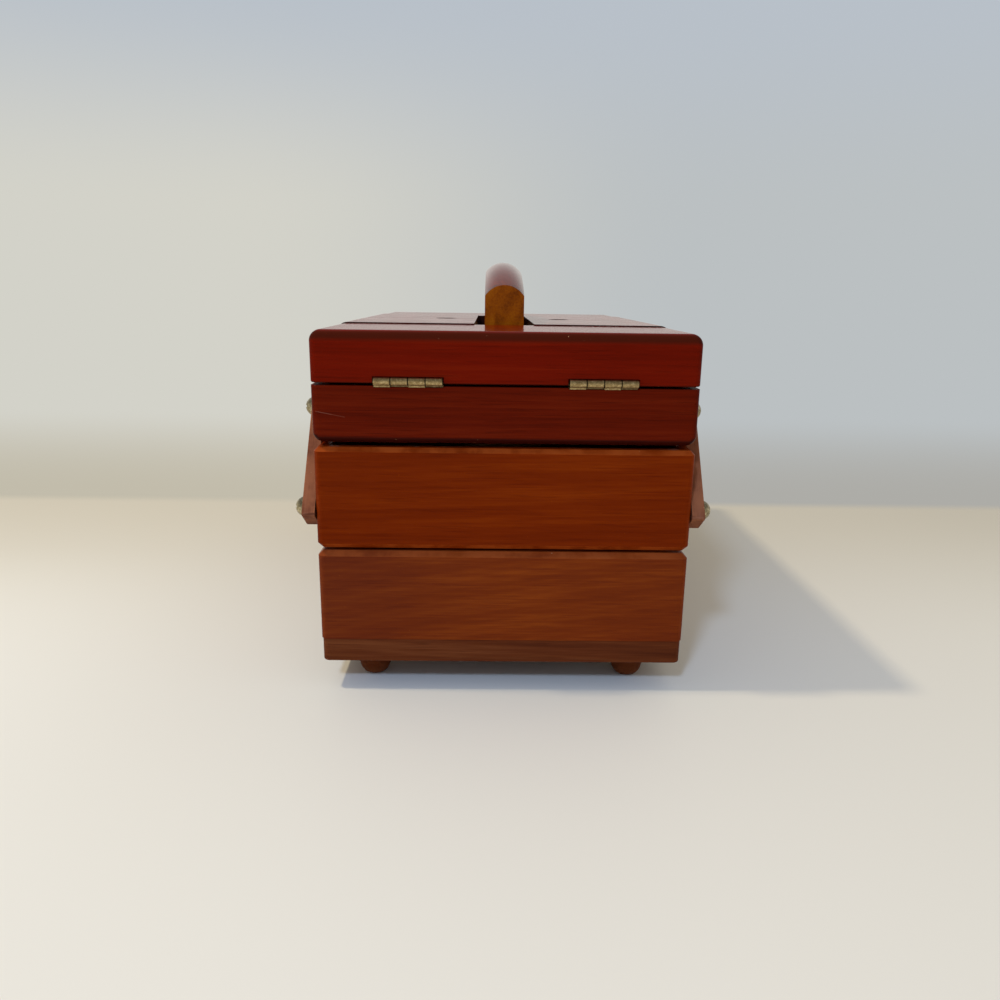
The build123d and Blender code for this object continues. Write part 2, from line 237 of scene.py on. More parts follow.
# Wood
woodLooks = {
    "lidWood": {
        "slot": "top_wood",
        "deep": colour(68, 9, 1),
        "main": colour(107, 17, 2),
        "light": colour(128, 32, 5),
        "edge": colour(64, 20, 8),
        "bands": 0.10,
        "fibre": 0.35,
        "streaks": 0.45,
        "patch": 0.60,
        "edgeCover": 0.85,
        # Painted shade in the gap between panel and leaves and on the faces of the finger notches
        "seam": {
            "colour": colour(44, 20, 14),
            "upright": (0.3, 0.6),
            "fromSide": 1.0,
            "fromMiddle": 4.0,
            "pastPanel": 1.0,
        },
        # A darker band under the top edge, in mm below it
        "darkTop": {"depth": 5.2, "fade": 1.5, "share": 0.9},
        "topCoat": 0.32,  # more polish on the tops
        "seed": 3.0,
        "tilt": 0.02,
    },
    "topTrayWood": {
        "slot": "top_wood",
        "deep": colour(60, 10, 2),
        "main": colour(92, 19, 3),
        "light": colour(112, 32, 7),
        # Dark edge colour over nearly all the rounds: painted shade on the rounded edges
        "edge": colour(30, 9, 7),
        "bands": 0.12,
        "fibre": 0.45,
        "streaks": 0.70,
        "patch": 0.35,
        "edgeCover": 0.95,
        "scratch": {
            "colour": colour(134, 78, 58),
            "left": -104.5,
            "right": -88.5,
            "level": 167.4,  # height of its left end
            "slope": -0.19,
            "width": (0.10, 0.28),
            "gaps": (0.25, 0.5),
            "share": 0.7,
        },
        "rimRough": 0.40,  # added on the unpolished rims
        "seed": 11.0,
        "tilt": 0.01,
    },
    "middleWood": {
        "slot": "middle_wood",
        "deep": colour(85, 19, 1),
        "main": colour(114, 35, 2),
        "light": colour(142, 55, 5),
        "edge": colour(156, 68, 22),
        "bands": 0.12,
        "fibre": 0.40,
        "streaks": 0.55,
        "patch": 0.70,
        "edgeCover": 0.2,
        "seed": 23.0,
        "tilt": -0.06,
    },
    "baseWood": {
        "slot": "base_wood",
        "deep": colour(89, 29, 12),
        "main": colour(117, 46, 13),
        "light": colour(148, 68, 18),
        "edge": colour(146, 70, 30),
        "bands": 0.11,
        "fibre": 0.45,
        "streaks": 0.60,
        "patch": 0.90,
        "edgeCover": 0.3,
        "seed": 37.0,
        "tilt": -0.18,
        # Painted shade: darker and browner towards the left
        "leftShade": {"colour": colour(70, 28, 22), "start": -20.0, "share": 0.3},
    },
    "plinthWood": {
        "slot": "plinth_wood",
        "deep": colour(62, 24, 12),
        "main": colour(94, 44, 20),
        "light": colour(120, 66, 34),
        "edge": colour(104, 56, 28),
        "bands": 0.16,
        "fibre": 0.45,
        "streaks": 0.60,
        "patch": 1.10,
        "edgeCover": 0.1,
        "seed": 51.0,
        "tilt": 0.06,
    },
    "innerWood": {
        "slot": "inner_wood",
        "deep": colour(140, 92, 52),
        "main": colour(178, 128, 80),
        "light": colour(200, 154, 104),
        "edge": colour(190, 142, 90),
        "bands": 0.14,
        "fibre": 0.50,
        "streaks": 0.50,
        "patch": 0.40,
        "edgeCover": 0.0,
        "seed": 71.0,
        "tilt": 0.03,
    },
}

grainSizes = {
    "stretch": 0.03,  # how much longer than wide the fibres are
    "bandStretch": 0.3,
    "fibreScale": 1500.0,
    "streakScale": 420.0,
    "poreScale": 1100.0,
    "pores": (0.30, 0.42),
    "poreShare": 0.35,
    "bandScale": 60.0,  # growth rings, in turns of a metre
    "bandSlope": 0.7,  # how far the rings lean across a board
    "bend": 0.022,
    "bendScale": 9.0,
    "ripples": 3.7,  # fine rings for each broad one
    "rippleShare": 0.3,
    "ripplePull": 5.0,
    "patchScale": 12.0,
}


def woodColour(wire, look, along, across, upward, sizes):
    # Fibres, growth bands, patches and pores, all on coordinates that run with the board
    seed = look["seed"]
    stretched = wire.vector(along * sizes["stretch"] + seed, across, upward)
    broad = wire.vector(along * sizes["bandStretch"] + seed, across, upward)
    fibre = wire.noise(stretched, sizes["fibreScale"], 3.0, 0.6)
    streaks = wire.noise(stretched, sizes["streakScale"], 4.0, 0.55)
    pores = wire.noise(stretched, sizes["poreScale"], 2.0, 0.5).between(*sizes["pores"])
    bend = wire.noise(broad, sizes["bendScale"], 2.0, 0.45, 0.3)
    rings = upward + across * sizes["bandSlope"] + along * look["tilt"] + bend * sizes["bend"]
    turns = rings * (sizes["bandScale"] * 2 * math.pi)
    ripples = (turns * sizes["ripples"] + streaks * sizes["ripplePull"]).sine()
    bands = turns.sine() * 0.5 + ripples * sizes["rippleShare"]
    patch = wire.noise(broad, sizes["patchScale"], 3.0, 0.5, 0.6)
    tone = bands * look["bands"] + (fibre - 0.5) * look["fibre"] + (streaks - 0.5) * look["streaks"]
    level = tone + (patch - 0.5) * look["patch"] + 0.5
    stops = [(0.0, look["deep"]), (0.5, look["main"]), (1.0, look["light"])]
    made = wire.node("ShaderNodeValToRGB", {"stops": stops}, {"Fac": level})
    return wire.blend(made, look["deep"], (1 - pores) * sizes["poreShare"]), fibre, pores


edgeSettings = {
    "turned": (0.02, 0.16),  # how far a surface has turned from square
    "level": (0.1, 0.4),
    "upright": 0.2,  # weight of the upright edges
}


def edgeMask(normal, settings):
    # 1 where the surface turns between two square faces, as on a chamfer or a round
    squareness = normal[0].absolute().larger(normal[1].absolute()).larger(normal[2].absolute())
    turned = (1 - squareness).between(*settings["turned"])
    level = normal[2].absolute().between(*settings["level"])
    return turned * (level * (1 - settings["upright"]) + settings["upright"])


varnish = {
    "roughness": 0.14,
    "scuffRoughness": 0.16,
    "chipRoughness": 0.3,
    "innerRoughness": 0.22,  # added on bare wood
    "coat": 0.06,
    "coatRoughness": 0.06,
    "coatIor": 1.22,
    "level": 0.015,
    "top": (0.70, 0.95),  # how far a face points up to count as a top
    "wearScale": 55.0,
    "edgeWearAndShade": (0.36, 0.62),
    "edgeShare": 0.8,
    "chipScale": 260.0,
    "chips": (0.70, 0.73),
    "chip": colour(196, 150, 104),
    "chipShare": 0.8,
    "chipDepth": 2.0,
    "speckScale": 700.0,
    "specks": (0.76, 0.80),
    "speckShare": 0.35,
    "bump": 0.00012,
    "bumpStrength": 0.5,
}


def addScratch(wire, base, scratch, place, scuffs):
    # A pale scratch on the front
    x, y, z = place
    line = scratch["level"] * mm + (x - scratch["left"] * mm) * scratch["slope"]
    thin, wide = scratch["width"]
    near = 1 - (z - line).absolute().between(thin * mm, wide * mm)
    span = (x > scratch["left"] * mm) * (x < scratch["right"] * mm) * (y < 0)
    shown = near * span * scuffs.between(*scratch["gaps"]) * scratch["share"]
    return wire.blend(base, scratch["colour"], shown)


def addSeamShade(wire, base, seam, place, normal):
    # Painted shade on the upright faces in the gap between lid panel and leaves
    x, y, z = place
    upright = 1 - normal[2].absolute().between(*seam["upright"])
    inSide = (x.absolute() < halfWidth - seam["fromSide"] * mm) * (y.absolute() > seam["fromMiddle"] * mm)
    within = inSide * (z > panelLow.z)
    inPanel = y.absolute() < panelInnerY + seam["pastPanel"] * mm
    return wire.blend(base, seam["colour"], upright * within * inPanel)


def addEndGrain(wire, base, look, place, normal):
    x, y, z = place
    grain = look["endGrain"]
    stretched = wire.vector(x * grain["stretch"], y * grain["stretch"], z)
    lines = wire.noise(stretched, grain["scale"], 2.0, 0.6).between(*grain["lines"])
    tone = wire.blend(look["deep"], look["light"], lines)
    return wire.blend(base, tone, normal[1].absolute().between(*grain["facing"]) * grain["share"])


def makeWood(name, look, mode, inner=False):
    # mode: "boards" turns the grain with the board, "y" keeps it along the box, and a number
    # leans it by that angle in the YZ plane
    material, wire = startMaterial(name)
    coordinates = wire.tree.nodes.new("ShaderNodeTexCoord")
    spot = Wire(wire.tree, coordinates.outputs["Object"])
    place = spot.parts()
    normal = Wire(wire.tree, coordinates.outputs["Normal"]).parts()
    x, y, z = place
    upward = z
    if mode == "boards":
        onSide = (y.absolute() < endInnerY) * (x.absolute() > sideInnerX - 0.5 * mm)
        along = x + (y - x) * onSide
        across = y + (x - y) * onSide
    elif mode == "y":
        along, across = y, x
    else:
        lean = math.radians(mode)
        along = y * math.cos(lean) + z * math.sin(lean)
        upward = z * math.cos(lean) - y * math.sin(lean)
        across = x
    base, fibre, pores = woodColour(wire, look, along, across, upward, grainSizes)
    edge = edgeMask(normal, edgeSettings)
    onTop = normal[2].between(*varnish["top"])
    scuffs = wire.noise(spot, varnish["wearScale"], 5.0, 0.6)
    # Painted shade towards the left of the base
    if "leftShade" in look:
        tint = look["leftShade"]
        left = (0 - x).between(tint["start"] * mm, halfWidth)
        base = wire.blend(base, tint["colour"], left * tint["share"])
    # Edge colour over rounds and chamfers: wear where scuffed, stain on the lid, painted shade on the top tray
    cover = look["edgeCover"]
    edgeWearAndShade = edge * (scuffs.between(*varnish["edgeWearAndShade"]) * (1 - cover) + cover)
    base = wire.blend(base, look["edge"], edgeWearAndShade * varnish["edgeShare"])
    if "scratch" in look:
        base = addScratch(wire, base, look["scratch"], place, scuffs)
    if "darkTop" in look:
        dark = look["darkTop"]
        low, fade = lidTopZ - dark["depth"] * mm, dark["fade"] * mm
        darkBand = z.between(low - fade, low + fade) * (1 - onTop) * dark["share"]
        base = wire.blend(base, look["edge"], darkBand)
    # Painted shade in the gap between lid panel and leaves
    if "seam" in look:
        base = addSeamShade(wire, base, look["seam"], place, normal)
    if "endGrain" in look:
        base = addEndGrain(wire, base, look, place, normal)
    # Small chips that show bare wood, only on the edges
    chips = wire.noise(spot, varnish["chipScale"], 3.0, 0.7).between(*varnish["chips"]) * edge
    base = wire.blend(base, varnish["chip"], chips * varnish["chipShare"])
    # Dust specks in the varnish
    specks = wire.noise(spot, varnish["speckScale"], 1.0, 0.4).between(*varnish["specks"])
    base = wire.blend(base, look["light"], specks * varnish["speckShare"])
    rough = scuffs * varnish["scuffRoughness"] + varnish["roughness"] + chips * varnish["chipRoughness"]
    if "rimRough" in look:
        rough = rough + onTop * look["rimRough"]
    if inner:
        rough = rough + varnish["innerRoughness"]
    bump = wire.node("ShaderNodeBump", None, {
        "Height": fibre * 0.5 + pores * 0.6 - chips * varnish["chipDepth"],
        "Distance": varnish["bump"],
        "Strength": varnish["bumpStrength"],
    })
    surface = {"Base Color": base, "Roughness": rough, "Normal": bump}
    fixed = {"Specular IOR Level": varnish["level"]}
    if not inner:
        surface["Coat Weight"] = onTop * look.get("topCoat", 0.0) + varnish["coat"]
        fixed["Coat Roughness"] = varnish["coatRoughness"]
        fixed["Coat IOR"] = varnish["coatIor"]
    finishMaterial(wire, surface, fixed)
    return material


handleLook = {
    "deep": colour(80, 24, 12),
    "main": colour(112, 42, 22),
    "light": colour(134, 62, 36),
    "edge": colour(70, 30, 6),
    "edgeShare": 0.6,
    "edgeReach": 4.0,  # how far from the ends the edges are dark
    "bands": 0.12,
    "fibre": 0.35,
    "streaks": 0.50,
    "patch": 0.50,
    "seed": 91.0,
    "tilt": 0.04,
    "level": 0.05,
    "coatRoughness": 0.20,
    "coatIor": 1.45,
    "polish": 0.96,
    "endPolish": 0.02,
    "roughness": 0.14,
    "roughScale": 60.0,
    "bump": 0.0001,
    "bumpStrength": 0.5,
}

# The two sawn ends of the handle, which show growth rings
handleEnds = {
    "tones": [(0.40, colour(112, 48, 1)), (0.70, colour(148, 72, 2)), (0.98, colour(164, 88, 6))],
    "facing": (0.75, 0.95),
    "rings": 95,  # in a metre
    "ringRise": 0.55,
    "ringAcross": 0.83,
    "ringShare": 0.09,
    "bend": 0.008,
    "bendScale": 70.0,
    "bendShare": 0.7,
    "fibreScale": 1100.0,
    "fibreShare": 0.7,
}


def makeHandleWood(look, ends):
    # Long grain on the sides and top, and growth rings on the two ends
    material, wire = startMaterial("handleWood")
    coordinates = wire.tree.nodes.new("ShaderNodeTexCoord")
    place = Wire(wire.tree, coordinates.outputs["Object"])
    normal = Wire(wire.tree, coordinates.outputs["Normal"]).parts()
    x, y, z = place.parts()
    base, fibre, pores = woodColour(wire, look, y, x, z, grainSizes)
    onEnd = normal[1].absolute().between(*ends["facing"])
    bend = wire.noise(place, ends["bendScale"], 3.0, 0.5, 0.8)
    slope = z * ends["ringRise"] - x * ends["ringAcross"] + bend * ends["bend"]
    rings = (slope * (2 * math.pi * ends["rings"])).sine()
    fine = wire.noise(place, ends["fibreScale"], 3.0, 0.6)
    tone = rings * ends["ringShare"] + fine * ends["fibreShare"] + bend * ends["bendShare"]
    endTone = wire.node("ShaderNodeValToRGB", {"stops": ends["tones"]}, {"Fac": tone})
    base = wire.blend(base, endTone, onEnd)
    nearEnd = y.absolute() > handleEndY - look["edgeReach"] * mm
    base = wire.blend(base, look["edge"], edgeMask(normal, edgeSettings) * nearEnd * look["edgeShare"])
    scuffs = wire.noise(place, look["roughScale"], 4.0, 0.6)
    bump = wire.node("ShaderNodeBump", None, {
        "Height": fibre * 0.5 + pores * 0.5,
        "Distance": look["bump"],
        "Strength": look["bumpStrength"],
    })
    finishMaterial(wire, {
        "Base Color": base,
        "Roughness": scuffs * look["roughness"] + look["roughness"],
        "Normal": bump,
        "Coat Weight": (1 - onEnd) * look["polish"] + look["endPolish"],
    }, {
        "Specular IOR Level": look["level"],
        "Coat Roughness": look["coatRoughness"],
        "Coat IOR": look["coatIor"],
    })
    return material


armLook = {
    "deep": colour(74, 38, 24),
    "main": colour(116, 66, 44),
    "light": colour(144, 92, 66),
    "edge": colour(150, 92, 60),
    "bands": 0.10,
    "fibre": 0.70,
    "streaks": 0.60,
    "patch": 0.35,
    "edgeCover": 0.0,
    "endGrain": {
        "stretch": 0.08,
        "scale": 1500.0,
        "lines": (0.35, 0.65),
        "facing": (0.80, 0.98),
        "share": 0.6,
    },
    "seed": 131.0,
    "tilt": 0.02,
}


# Metal
metalLooks = {
    "hingeBrass": {
        "slot": "hinge_brass",
        "bright": colour(222, 200, 150),
        "dull": colour(160, 136, 92),
        "dirt": colour(112, 90, 58),
        "rough": 0.30,
        "scale": 700.0,
        # Dark rings between the knuckles: painted shade in the gaps there
        "joints": {"colour": colour(24, 16, 8), "pitch": 9.5, "width": 0.35, "reach": 4.8, "share": 0.9},
    },
    "pinBrass": {
        "slot": "hinge_brass",
        "bright": colour(60, 46, 28),
        "dull": colour(34, 25, 15),
        "dirt": colour(20, 14, 8),
        "rough": 0.60,
        "scale": 700.0,
    },
    "screwBrass": {
        "slot": "screw_brass",
        "bright": colour(222, 210, 176),
        "dull": colour(164, 150, 116),
        "dirt": colour(84, 72, 52),
        "rough": 0.22,
        "scale": 380.0,
    },
}


metalFinish = {
    "spots": (0.34, 0.50, 0.66),  # where dirt, dull and bright metal start
    "fineScale": 5,  # times the scale of the tarnish
    "fineShare": 0.4,
    "tarnishRoughness": 0.35,
    "ownShare": 0.6,
    "fineRoughness": 0.1,
    "bare": (0.30, 0.42),
    "leastMetal": 0.75,
    "bump": 0.00006,
    "bumpStrength": 0.6,
}


# Painted shade in the gaps between the knuckles
def addKnuckleShade(wire, tone, joint, place):
    x, y = place[:2]
    turns = (x.absolute() - hingeEdgeX) * (1 / (joint["pitch"] * mm)) + 0.5
    near = (turns.fraction() - 0.5).absolute() < joint["width"] / joint["pitch"]
    onTube = (y.absolute() > hingeOuterY - joint["reach"] * mm) * near
    return wire.blend(tone, joint["colour"], onTube * joint["share"])


def makeMetal(name, look, finish):
    # Worn brass: bright on the high spots, brown in the hollows
    material, wire = startMaterial(name)
    coordinates = wire.tree.nodes.new("ShaderNodeTexCoord")
    place = Wire(wire.tree, coordinates.outputs["Object"])
    tarnish = wire.noise(place, look["scale"], 5.0, 0.65, 0.6)
    fine = wire.noise(place, look["scale"] * finish["fineScale"], 3.0, 0.6)
    level = tarnish * (1 - finish["fineShare"]) + fine * finish["fineShare"]
    stops = list(zip(finish["spots"], (look["dirt"], look["dull"], look["bright"])))
    tone = wire.node("ShaderNodeValToRGB", {"stops": stops}, {"Fac": level})
    if "joints" in look:
        tone = addKnuckleShade(wire, tone, look["joints"], place.parts())
    ownRoughness = look["rough"] * finish["ownShare"]
    rough = (1 - tarnish) * finish["tarnishRoughness"] + ownRoughness + fine * finish["fineRoughness"]
    least = finish["leastMetal"]
    bump = wire.node("ShaderNodeBump", None, {
        "Height": tarnish + fine * finish["fineShare"],
        "Distance": finish["bump"],
        "Strength": finish["bumpStrength"],
    })
    finishMaterial(wire, {
        "Base Color": tone,
        "Roughness": rough,
        "Metallic": tarnish.between(*finish["bare"]) * (1 - least) + least,
        "Normal": bump,
    }, {})
    return material


woods = {}
for name, look in woodLooks.items():
    woods[name] = makeWood(name, look, "boards", inner=name == "innerWood")
armRun = Vector(joints["front_middle_level"]["pos_m"]) - Vector(joints["front_spread"]["pos_m"])
armLean = math.degrees(math.atan2(armRun.z, armRun.y))
woods["armWoodFront"] = makeWood("armWoodFront", armLook, armLean, inner=True)
woods["armWoodBack"] = makeWood("armWoodBack", armLook, 180 - armLean, inner=True)
woods["lidLeafWood"] = makeWood("lidLeafWood", woodLooks["lidWood"], "y")
woods["handleWood"] = makeHandleWood(handleLook, handleEnds)
metals = {name: makeMetal(name, look, metalFinish) for name, look in metalLooks.items()}
print("materials made")


def woodFor(node):
    if "_arm_" in node:
        return "armWoodFront" if node.startswith("front") else "armWoodBack"
    if node == "handle":
        return "handleWood"
    if node in ("feet", "bottom_board"):
        return "plinthWood"
    if node in ("centre_board", "handle_dowels") or "floor" in node or "slot" in node:
        return "innerWood"
    if node.endswith("lid_leaves"):
        return "lidLeafWood"
    if "_lid_" in node:
        return "lidWood"
    if "_top_" in node:
        return "topTrayWood"
    if "_middle_" in node:
        return "middleWood"
    return "baseWood"


record = frame["record"]
bodyOf = {node: body for body, held in record["behaviour"]["bodies"].items() for node in held}
slotOf = {name: look["slot"] for name, look in {**woodLooks, **metalLooks}.items()}
slotOf.update({
    "lidLeafWood": "top_wood",
    "handleWood": "handle_wood",
    "armWoodFront": "arm_wood",
    "armWoodBack": "arm_wood",
})


# Finished boards, arms, handle and hinges
softening = {
    "board": {"width": 0.5, "segments": 2},
    "handle": {"width": 1.6, "segments": 3},
    "hinge": {"width": 0.32, "segments": 2},
    "merge": 0.01,  # mm within which corners are one
    "flat": 0.4,  # degrees within which faces are joined
    "corner": 30,  # degrees above which an edge is eased
}


def addPiece(name, mesh, material):
    piece = bpy.data.objects.new(name, mesh)
    bpy.context.scene.collection.objects.link(piece)
    mesh.materials.clear()
    mesh.materials.append(material)
    return piece


def bake(piece):
    # The piece's mesh with its modifiers worked in
    graph = bpy.context.evaluated_depsgraph_get()
    made = bpy.data.meshes.new_from_object(piece.evaluated_get(graph), depsgraph=graph)
    piece.modifiers.clear()
    piece.data = made
    return made


def mergeSolids(mesh):
    # The frame's loose triangles joined up, one closed solid at a time, so that boards which
    # touch stay apart. Each solid's triangles follow one another.
    build = bmesh.new()
    openEdges, corners = set(), {}
    for polygon in mesh.polygons:
        keys = []
        for index in polygon.vertices:
            place = mesh.vertices[index].co
            key = tuple(round(value / (softening["merge"] * mm)) for value in place)
            if key not in corners:
                corners[key] = build.verts.new(place)
            keys.append(key)
        if len(set(keys)) < 3:
            continue
        face = [corners[key] for key in keys]
        if build.faces.get(face) is None:
            build.faces.new(face)
        for edge in zip(keys, keys[1:] + keys[:1]):
            if edge[::-1] in openEdges:
                openEdges.remove(edge[::-1])
            else:
                openEdges.add(edge)
        if not openEdges:
            corners = {}
    return build


def soften(name, material, settings):
    # A copy of a frame node with its sharp edges eased, as sanded wood or worn brass
    mesh = bpy.data.meshes.new(name)
    build = mergeSolids(nodes[name].data)
    flat = math.radians(softening["flat"])
    bmesh.ops.dissolve_limit(build, angle_limit=flat, verts=build.verts, edges=build.edges)
    bmesh.ops.recalc_face_normals(build, faces=build.faces)
    build.to_mesh(mesh)
    build.free()
    piece = addPiece(f"{name}_finished", mesh, material)
    ease = piece.modifiers.new("ease", "BEVEL")
    ease.width = settings["width"] * mm
    ease.segments = settings["segments"]
    ease.limit_method = "ANGLE"
    ease.angle_limit = math.radians(softening["corner"])
    made = bake(piece)
    made.shade_smooth()
    made.set_sharp_from_angle(angle=math.radians(softening["corner"]))
    flatten = piece.modifiers.new("flatten", "WEIGHTED_NORMAL")
    flatten.keep_sharp = True
    bake(piece)
    return piece


for name in nodes:
    if "screws" in name or name in ("feet", "handle_dowels"):
        continue
    if "hinge" in name:
        metal = "pinBrass" if name.endswith("pins") else "hingeBrass"
        material, settings = metals[metal], softening["hinge"]
    else:
        material = woods[woodFor(name)]
        settings = softening["handle" if name == "handle" else "board"]
    piece = soften(name, material, settings)
    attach(piece, bodyOf[name])
    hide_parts(name)
nodes["handle_dowels"].data.materials.clear()
nodes["handle_dowels"].data.materials.append(woods["innerWood"])
print("boards, arms and hinges finished")


# Geometry node helpers
def startTree(name, inputs):
    # A geometry tree with one geometry input and the named inputs after it
    tree = bpy.data.node_groups.new(name, "GeometryNodeTree")
    tree.interface.new_socket("Geometry", in_out="INPUT", socket_type="NodeSocketGeometry")
    for label, kind in inputs.items():
        tree.interface.new_socket(label, in_out="INPUT", socket_type=f"NodeSocket{kind}")
    tree.interface.new_socket("Geometry", in_out="OUTPUT", socket_type="NodeSocketGeometry")
    entry = tree.nodes.new("NodeGroupInput")
    wires = {output.name: Wire(tree, output) for output in entry.outputs if output.name}
    return tree, wires


def finishTree(tree, geometry, material):
    real = geometry.node("GeometryNodeRealizeInstances", None, {"Geometry": geometry})
    painted = real.node("GeometryNodeSetMaterial", None, {"Geometry": real, "Material": material})
    end = tree.nodes.new("NodeGroupOutput")
    tree.links.new(painted.socket, end.inputs[0])


def grow(name, mesh, tree, values, material):
    # A piece made by a geometry tree from a mesh of points or from one part
    piece = addPiece(name, mesh, material)
    modifier = piece.modifiers.new("tree", "NODES")
    modifier.node_group = tree
    for item in tree.interface.items_tree:
        if item.in_out == "INPUT" and item.name in values:
            modifier[item.identifier] = values[item.name]
    made = bake(piece)
    if not made.materials:
        made.materials.append(material)
    made.shade_smooth()
    made.set_sharp_from_angle(angle=math.radians(softening["corner"]))
    return piece


def pointMesh(name, places):
    mesh = bpy.data.meshes.new(name)
    mesh.from_pydata([tuple(place) for place in places], [], [])
    return mesh


# Pivot screws
screwSettings = {
    "slotWidth": 1.1,
    "slotDepth": 1.3,
    "rim": 0.8,
    "headGap": 0.3,  # between a head and its arm
    "shankShare": 0.44,  # of the head's diameter
    "shankDepth": 6.5,  # into the side board
    "sides": 40,
    "spin": 1.2,  # how far a slot is turned either way
    "seed": 5,
}


def makeScrewTree(settings):
    tree, wires = startTree("slottedScrews", {
        "Head Radius": "Float",
        "Head Height": "Float",
        "Shank Length": "Float",
        "Material": "Material",
    })
    points = wires["Geometry"]
    radius, height, shank = wires["Head Radius"], wires["Head Height"], wires["Shank Length"]
    rim = settings["rim"] * mm
    dome = height - rim
    ballRadius = (radius * radius + dome * dome) / (dome * 2)
    ball = points.node("GeometryNodeMeshUVSphere", None, {
        "Segments": settings["sides"],
        "Rings": settings["sides"] // 2,
        "Radius": ballRadius,
    })
    ball = ball.node("GeometryNodeTransform", None, {
        "Geometry": ball, "Translation": points.vector(height - ballRadius, 0.0, 0.0),
    })
    plug = points.node("GeometryNodeMeshCylinder", None, {
        "Vertices": settings["sides"], "Radius": radius, "Depth": height,
    })
    plug = plug.node("GeometryNodeTransform", None, {
        "Geometry": plug,
        "Translation": points.vector(height * 0.5, 0.0, 0.0),
        "Rotation": (0.0, math.pi / 2, 0.0),
    })
    common = {"operation": "INTERSECT", "solver": "EXACT"}
    head = points.node("GeometryNodeMeshBoolean", common, {1: plug})
    tree.links.new(ball.socket, head.socket.node.inputs[1])
    slot = points.node("GeometryNodeMeshCube", None, {
        "Size": points.vector(settings["slotDepth"] * 2 * mm, radius * 3, settings["slotWidth"] * mm),
    })
    slot = slot.node("GeometryNodeTransform", None, {
        "Geometry": slot, "Translation": points.vector(height, 0.0, 0.0),
    })
    cut = {"operation": "DIFFERENCE", "solver": "EXACT"}
    head = points.node("GeometryNodeMeshBoolean", cut, {0: head, 1: slot})
    stem = points.node("GeometryNodeMeshCylinder", None, {
        "Vertices": settings["sides"],
        "Radius": radius * settings["shankShare"],
        "Depth": shank,
    })
    stem = stem.node("GeometryNodeTransform", None, {
        "Geometry": stem,
        "Translation": points.vector(shank * -0.5, 0.0, 0.0),
        "Rotation": (0.0, math.pi / 2, 0.0),
    })
    whole = points.node("GeometryNodeJoinGeometry", None, {0: head})
    tree.links.new(stem.socket, whole.socket.node.inputs[0])
    spin = points.node("FunctionNodeRandomValue", {"data_type": "FLOAT"}, {"Seed": settings["seed"]}, 1)
    spin.socket.node.inputs[2].default_value = -settings["spin"]
    spin.socket.node.inputs[3].default_value = settings["spin"]
    side = points.node("GeometryNodeInputPosition").parts()[0]
    turn = points.vector(spin, 0.0, (side < 0.0) * math.pi)
    placed = points.node("GeometryNodeInstanceOnPoints", None, {
        "Points": points, "Instance": whole, "Rotation": turn,
    })
    finishTree(tree, placed, wires["Material"])
    return tree


screwTree = makeScrewTree(screwSettings)
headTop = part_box("front_middle_pivot_screws")[1].x
screwLow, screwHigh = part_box("front_top_pivot_screws")
headRadius = (screwHigh.z - screwLow.z) / 2
headHeight = headTop - armOuterX - screwSettings["headGap"] * mm
shankLength = headTop - headHeight - halfWidth + screwSettings["shankDepth"] * mm


def pivotPlaces(end):
    # Where each body of one half carries its screws
    names = ("spread", "middle_level", "top_level", "lower_arm_swing", "upper_arm_swing")
    place = {name: Vector(joints[f"{end}_{name}"]["pos_m"]) for name in names}
    step = Vector((0, -armRun.y * ends[end], armRun.z))
    middle = [place["middle_level"], place["lower_arm_swing"] + step, place["upper_arm_swing"]]
    return {
        "base": [place["spread"], place["lower_arm_swing"]],
        f"{end}_middle_tray": middle,
        f"{end}_top_tray": [place["top_level"], place["upper_arm_swing"] + step],
    }


def makeScrews(name, body, node, places):
    headX = headTop - headHeight
    both = [Vector((side * headX, place.y, place.z)) for place in places for side in (-1, 1)]
    values = {
        "Head Radius": headRadius,
        "Head Height": headHeight,
        "Shank Length": shankLength,
        "Material": metals["screwBrass"],
    }
    piece = grow(name, pointMesh(name, both), screwTree, values, metals["screwBrass"])
    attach(piece, body)
    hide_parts(node)


basePlaces = []
for end in ends:
    for body, places in pivotPlaces(end).items():
        if body == "base":
            basePlaces += places
        else:
            tier = body.split("_")[1]
            makeScrews(f"{end}_{tier}_screws", body, f"{end}_{tier}_pivot_screws", places)
makeScrews("base_screws", "base", "base_pivot_screws", basePlaces)
print("pivot screws made")


# Countersunk screws of the hinge leaves
leafScrewSettings = {
    "radius": 1.6,
    "depth": 0.9,
    "proud": 0.14,
    "slotWidth": 0.55,
    "slotDepth": 0.3,
    "spread": 11.0,  # from the middle of a hinge, along it
    "hingeX": 53.4,
    "leafMiddle": 3.1,  # from the inner edge of a leaf
    "trayLeafTop": 1.2,  # above the bottom of the tray leaves
    "lidLeafLow": 0.65,  # above the bottom of the lid knuckles
    "sides": 32,
    "seed": 9,
}


